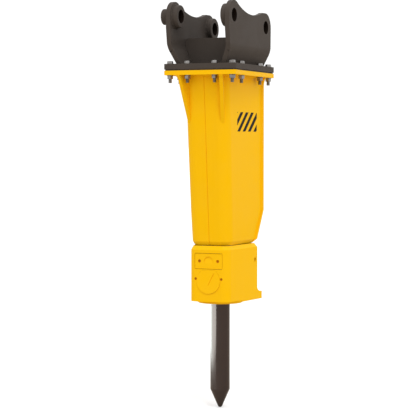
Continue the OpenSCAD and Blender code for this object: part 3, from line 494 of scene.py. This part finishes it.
def film_shapes():
    """Outlines of the film in its own plane: u towards the rear, v up."""
    half_u, half_v = film_width / 2, film_height / 2
    shapes = []
    for i in range(-4, 5):
        left = i * stripe_pitch
        bar = [(left - half_v, -half_v), (left - half_v + stripe_pitch / 2, -half_v),
               (left + half_v + stripe_pitch / 2, half_v), (left + half_v, half_v)]
        bar = clipped(bar, 0, -half_u, True)
        bar = clipped(bar, 0, half_u, False) if len(bar) > 2 else bar
        if len(bar) > 2:
            shapes.append(bar)
    return shapes


def side_film(name, turn, wall, material):
    """Vinyl film on one side wall, following the steel a third of a millimetre proud."""
    form = bmesh.new()
    for shape in film_shapes():
        form.faces.new([form.verts.new((0.0, film_middle.y + u, film_middle.z + v)) for u, v in shape])
    bmesh.ops.triangulate(form, faces=form.faces[:])
    bmesh.ops.subdivide_edges(form, edges=form.edges[:], cuts=3, use_grid_fill=True)
    steel = BVHTree.FromPolygons([v.co for v in wall.data.vertices],
                                 [p.vertices for p in wall.data.polygons])
    for vert in form.verts:
        hit = steel.ray_cast(Vector((turn, vert.co.y, vert.co.z)), Vector((-turn, 0, 0)))[0]
        vert.co.x = hit.x + turn * 0.00035
    if turn < 0:
        bmesh.ops.reverse_faces(form, faces=form.faces[:])
    mesh = bpy.data.meshes.new(name)
    form.to_mesh(mesh)
    form.free()
    mesh.materials.append(material)
    piece = bpy.data.objects.new(name, mesh)
    scene.collection.objects.link(piece)
    thick = piece.modifiers.new("film_thickness", "SOLIDIFY")
    thick.thickness = 0.0003
    thick.offset = -1.0
    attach(piece, "housing")
    return piece


vinyl = sprayed_plate(
    "black_vinyl", colour=(0.006, 0.006, 0.008, 1), faded=(0.012, 0.012, 0.013, 1),
    worn=(0.05, 0.05, 0.05, 1), dust=(0.08, 0.07, 0.06, 1), gloss=0.34, ior=1.12, peel=0.02, rub=0.1,
    top_dust=0.1)
for turn, wall_name in ((1, "right"), (-1, "left")):
    side_film("safety_stripes_" + wall_name, turn, frame["nodes"]["housing_shell_" + wall_name], vinyl)

# ---------------------------------------------------------------------------
# Lower housing with its ring and foot, and the two covers on its front face.
# Cut plate, painted with the housing; the covers' screws are painted over too, and their heads carry a
# painted shade: a dark orange that stands for the shade down in their recesses.
# ---------------------------------------------------------------------------
dress(["lower_housing", "rear_foot"], yellow_paint, edge=0.0008, sharp=16.0)
dress(["front_ring"], yellow_paint, edge=0.001)
dress(["retainer_cover", "access_disc"], yellow_paint, edge=0.001)
# The screw heads' dark orange is painted shade: it stands for the shade down in their recesses, not for a
# paint of their own.
screw_heads_in_painted_shade = sprayed_plate(
    "painted_over_screws_with_painted_recess_shade", colour=(0.56, 0.17, 0.0015, 1), faded=(0.60, 0.20, 0.003, 1),
    worn=(0.30, 0.22, 0.16, 1), dust=(0.50, 0.30, 0.10, 1), gloss=0.5, ior=1.16, peel=0.05, rub=0.1,
    top_dust=0.1)
dress(["cover_screws", "disc_screws"], screw_heads_in_painted_shade, edge=0.0003)
ring_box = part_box("front_ring")
foot_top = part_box("rear_foot")[1].z
lower_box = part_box("lower_housing")
lower_rear = [v.co for v in frame["nodes"]["lower_housing"].data.vertices
              if abs(v.co.z - lower_box[0].z) < 0.0005 and v.co.y > lower_box[1].y - 0.0005]
half_rear = max(v.x for v in lower_rear)
weld_runs("lower_welds",
          [ring_run(Vector((0, tool_axis.y, lower_box[0].z)), ring_box[1].x, Vector((0, 0, 1)), 72),
           [Vector((-half_rear + 0.003, lower_box[1].y, foot_top)),
            Vector((half_rear - 0.003, lower_box[1].y, foot_top))]],
          0.0035, yellow_paint)

# ---------------------------------------------------------------------------
# Fasteners: twelve M18 hexagon bolts through the flange joint, with their
# washers and nuts. Rolled threads, zinc plated and gone a little dull.
# ---------------------------------------------------------------------------


def turned_metal(name, colour, rough, metallic, ring_axis=None, ring_scale=0.0, dull=(0.1, 0.09, 0.08, 1),
                 dull_amount=0.2, marks=0.12):
    """Bare or plated steel: fine tool marks round an axis, and cloudy dull patches."""
    material, tree, shader = new_finish(name)
    where = add(tree, "ShaderNodeTexCoord").outputs["Object"]
    cloud = add(tree, "ShaderNodeTexNoise", {"Vector": where, "Scale": 24.0, "Detail": 7.0,
                "Roughness": 0.65})
    patch = add(tree, "ShaderNodeMapRange", {"Value": cloud.outputs["Fac"], "From Min": 0.4,
                "From Max": 0.75, "To Max": dull_amount})
    tree.links.new(blend_colours(tree, patch.outputs[0], colour, dull), shader.inputs["Base Color"])
    grit = add(tree, "ShaderNodeTexNoise", {"Vector": where, "Scale": 400.0, "Detail": 3.0})
    gloss = add(tree, "ShaderNodeMapRange", {"Value": cloud.outputs["Fac"], "From Min": 0.3,
                "From Max": 0.7, "To Min": rough * 0.8, "To Max": rough * 1.25})
    tree.links.new(gloss.outputs[0], shader.inputs["Roughness"])
    height = grit.outputs["Fac"]
    if ring_axis:
        along = add(tree, "ShaderNodeSeparateXYZ", {0: where}).outputs[ring_axis]
        wobble = add(tree, "ShaderNodeMath", {0: cloud.outputs["Fac"], 1: 0.004, 2: along},
                     operation="MULTIPLY_ADD")
        lines = add(tree, "ShaderNodeTexNoise", {"W": wobble.outputs[0], "Scale": ring_scale,
                    "Detail": 3.0, "Roughness": 0.7}, noise_dimensions="1D")
        height = add(tree, "ShaderNodeMath", {0: grit.outputs["Fac"], 1: 0.3, 2: lines.outputs["Fac"]},
                     operation="MULTIPLY_ADD").outputs[0]
    bump = add(tree, "ShaderNodeBump", {"Height": height, "Strength": marks, "Distance": 0.0006})
    tree.links.new(bump.outputs["Normal"], shader.inputs["Normal"])
    shader.inputs["Metallic"].default_value = metallic
    return material


zinc = turned_metal("dull_zinc", (0.34, 0.33, 0.32, 1), 0.36, 1.0, dull=(0.13, 0.12, 0.115, 1),
                    dull_amount=0.6)
dress(["flange_nuts", "bolt_washers"], zinc, edge=0.0004)


def bolt_form(form, foot, head_seat, tail_end, across, head_height, shank_r, thread_from):
    """One hexagon bolt on a vertical axis: chamfered head, plain shank and rolled thread."""
    pitch = 0.0025
    around = 24
    rings = []

    def ring(z, radius_at):
        rings.append([form.verts.new(foot + Vector((radius_at(k) * math.cos(k * math.tau / around),
                      radius_at(k) * math.sin(k * math.tau / around), z))) for k in range(around)])

    def flat(k):
        slant = (k * math.tau / around + math.tau / 12) % (math.tau / 6) - math.tau / 12
        return across / 2 / math.cos(slant)

    def thread(z):
        return lambda k: shank_r - 0.0014 * abs(((z / pitch + k / around) % 1.0) * 2 - 1)

    top = head_seat + head_height
    ring(top - 0.0006, lambda k: across * 0.30)
    ring(top, lambda k: across * 0.42)
    ring(top, lambda k: across * 0.47)
    ring(top - 0.0012, lambda k: min(flat(k), across * 0.53))
    ring(top - 0.0030, flat)
    ring(head_seat + 0.0006, flat)
    ring(head_seat + 0.0006, lambda k: across * 0.47)
    ring(head_seat, lambda k: across * 0.46)
    ring(head_seat, lambda k: shank_r)
    ring(thread_from, lambda k: shank_r)
    steps = round((thread_from - tail_end) / pitch * 6)
    for i in range(steps + 1):
        z = thread_from - (thread_from - tail_end) * i / steps
        ring(z, thread(z))
    ring(tail_end, lambda k: shank_r - 0.0024)
    for high, low in zip(rings, rings[1:]):
        for k in range(around):
            form.faces.new((high[k], low[k], low[(k + 1) % around], high[(k + 1) % around]))
    form.faces.new(rings[0])
    form.faces.new(reversed(rings[-1]))


bolt_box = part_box("flange_bolts")
washer_top = deck + 0.003
bolt_across = 0.027
bolt_r = 0.009
plate_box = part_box("bracket_base_plate")
nut_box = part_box("flange_nuts")
bolt_edge = 0.025
bolt_x = plate_box[1].x - bolt_edge
bolt_y = (plate_box[1].y - plate_box[0].y) / 2 - bolt_edge
middle_x, middle_y = 0.073, 0.128
bolt_spots = [(x, y) for x in (-bolt_x, -middle_x, middle_x, bolt_x) for y in (-bolt_y, bolt_y)]
bolt_spots += [(x, y) for x in (-bolt_x, bolt_x) for y in (-middle_y, middle_y)]
bolt_mesh = bmesh.new()
for x, y in bolt_spots:
    bolt_form(bolt_mesh, Vector((x, tool_axis.y + y, 0)), washer_top, bolt_box[0].z, bolt_across,
              bolt_box[1].z - washer_top, bolt_r, nut_box[0].z + 0.004)
mesh = bpy.data.meshes.new("threaded_flange_bolts")
bolt_mesh.to_mesh(mesh)
bolt_mesh.free()
mesh.materials.append(zinc)
mesh.polygons.foreach_set("use_smooth", [True] * len(mesh.polygons))
mesh.set_sharp_from_angle(angle=math.radians(28))
flange_bolts = bpy.data.objects.new("threaded_flange_bolts", mesh)
scene.collection.objects.link(flange_bolts)
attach(flange_bolts, "housing")
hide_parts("flange_bolts")

# ---------------------------------------------------------------------------
# Chisel: forged and turned tool steel, blackened in oil, with a blunt cone.
# It hangs in the front head and slides up towards the piston in use.
# ---------------------------------------------------------------------------
blackened = turned_metal("oil_blackened_steel", (0.070, 0.054, 0.050, 1), 0.17, 0.92, ring_axis="Z",
                         ring_scale=900.0, dull=(0.085, 0.066, 0.060, 1), dull_amount=0.25, marks=0.05)
dress(["chisel"], blackened, edge=0.0008)

# ---------------------------------------------------------------------------
# Percussion cell inside the housing: machined steel heads, cylinder and valve
# block on four tie rods, ground piston, bronze bushings, rubber seals and buffers.
# ---------------------------------------------------------------------------
machined = turned_metal("machined_steel", (0.30, 0.29, 0.28, 1), 0.36, 1.0, dull=(0.16, 0.13, 0.10, 1),
                        dull_amount=0.5)
dress(["back_head", "cylinder", "front_head", "valve_block", "valve_cap"], machined, edge=0.001)
dress(["accumulator_body", "accumulator_cover"], machined, edge=0.0008)
dress(["tie_rods", "tie_rod_nuts", "valve_cap_screws", "accumulator_screws", "hose_port_adapters",
       "grease_nipple"], zinc, edge=0.0003)
ground = turned_metal("ground_steel", (0.62, 0.61, 0.60, 1), 0.16, 1.0, ring_axis="Z",
                      ring_scale=1500.0, dull_amount=0.08)
dress(["piston", "valve_spool", "retaining_pins"], ground, edge=0.0004)
bronze = turned_metal("turned_bronze", (0.50, 0.32, 0.13, 1), 0.3, 1.0, ring_axis="Z",
                      ring_scale=700.0, dull=(0.25, 0.15, 0.07, 1), dull_amount=0.4)
dress(["upper_bushing", "lower_bushing", "seal_carrier", "gas_valve"], bronze, edge=0.0004)


def moulded_rubber(name, colour, rough):
    """Moulded rubber: a fine matt grain with a slight bloom."""
    material, tree, shader = new_finish(name)
    where = add(tree, "ShaderNodeTexCoord").outputs["Object"]
    grain = add(tree, "ShaderNodeTexNoise", {"Vector": where, "Scale": 300.0, "Detail": 4.0})
    bloom = add(tree, "ShaderNodeTexNoise", {"Vector": where, "Scale": 14.0, "Detail": 5.0})
    pale = tuple(c * 1.8 for c in colour[:3]) + (1,)
    tree.links.new(blend_colours(tree, bloom.outputs["Fac"], colour, pale), shader.inputs["Base Color"])
    bump = add(tree, "ShaderNodeBump", {"Height": grain.outputs["Fac"], "Strength": 0.2,
               "Distance": 0.0005})
    tree.links.new(bump.outputs["Normal"], shader.inputs["Normal"])
    shader.inputs["Roughness"].default_value = rough
    return material


seal_rubber = moulded_rubber("seal_rubber", (0.018, 0.018, 0.018, 1), 0.5)
buffer_rubber = moulded_rubber("buffer_rubber", (0.030, 0.030, 0.032, 1), 0.7)
dress(["piston_seals", "dust_seal", "accumulator_diaphragm"], seal_rubber)
dress(["upper_buffer", "lower_buffer", "side_wear_pads"], buffer_rubber, edge=0.002)
